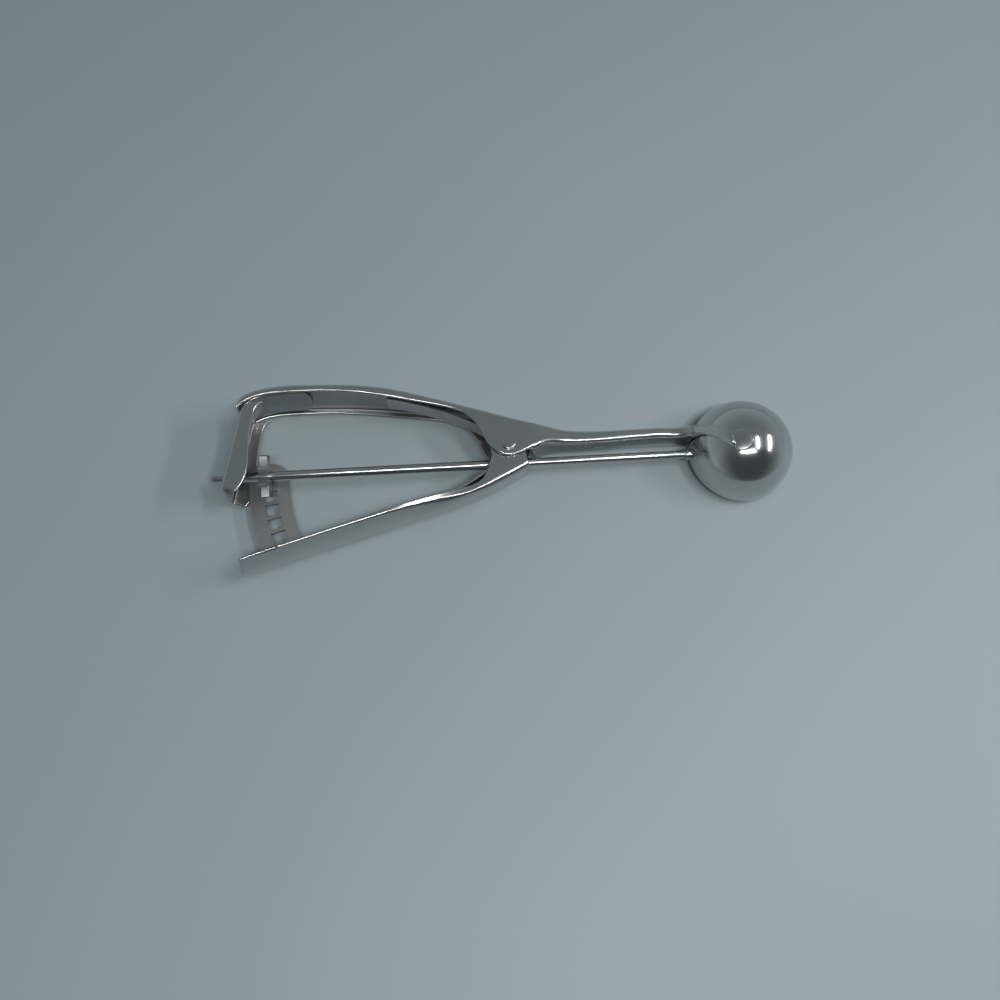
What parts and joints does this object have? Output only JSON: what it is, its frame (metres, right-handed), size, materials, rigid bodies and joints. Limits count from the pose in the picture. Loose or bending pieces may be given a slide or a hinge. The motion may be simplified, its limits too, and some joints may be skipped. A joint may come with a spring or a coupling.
{
  "type": "lever ice cream scoop",
  "caption": "Steel squeeze-handle ice cream scoop: closing the handles drives a rack and pinion that sweeps a thin blade round the inside of the bowl.",
  "frame": {"origin": "middle of the bottom of the whole tool's box", "axes": "+X along the drive rod towards the bowl, +Y towards the fixed upper handle, +Z towards the bowl's dome"},
  "size_m": [0.1896, 0.0596, 0.0265],
  "materials": {
    "handle_steel": "polished stamped stainless sheet with fine scratches",
    "bowl_steel": "bright polished spun bowl",
    "rod_steel": "drawn bright rod",
    "gear_steel": "stamped satin steel",
    "blade_steel": "thin satin strip",
    "spring_steel": "flat spring strip",
    "fitting_steel": "turned and formed steel"
  },
  "bodies": {
    "frame": {"upper_handle": "handle_steel", "bowl": "bowl_steel", "rod_bearing": "fitting_steel", "rear_bracket": "handle_steel", "pivot_rivet": "fitting_steel", "leaf_spring": "spring_steel", "blade_far_pin": "fitting_steel"},
    "lever": {"lower_handle": "handle_steel", "gear_rack": "gear_steel"},
    "drive": {"drive_rod": "rod_steel", "pinion": "gear_steel", "rod_washer": "fitting_steel", "sweeper_blade": "blade_steel"}
  },
  "joints": [
    {"name": "handle_squeeze", "type": "hinge", "parent": "frame", "child": "lever", "pos_m": [-0.00075, 0.0065, 0.00875], "axis": [0, 0, -1], "range_deg": [0, 12.6], "stiffness_Nm_per_rad": 1.5, "springref_deg": -8.59, "deforming": ["leaf_spring"]},
    {"name": "rod_turn", "type": "hinge", "parent": "frame", "child": "drive", "pos_m": [-0.00075, 0.0018, 0.00875], "axis": [1, 0, 0], "range_deg": [0, 162.1]}
  ],
  "couplings": [
    {"joint": "rod_turn", "follows": "handle_squeeze", "ratio": 12.854}
  ]
}
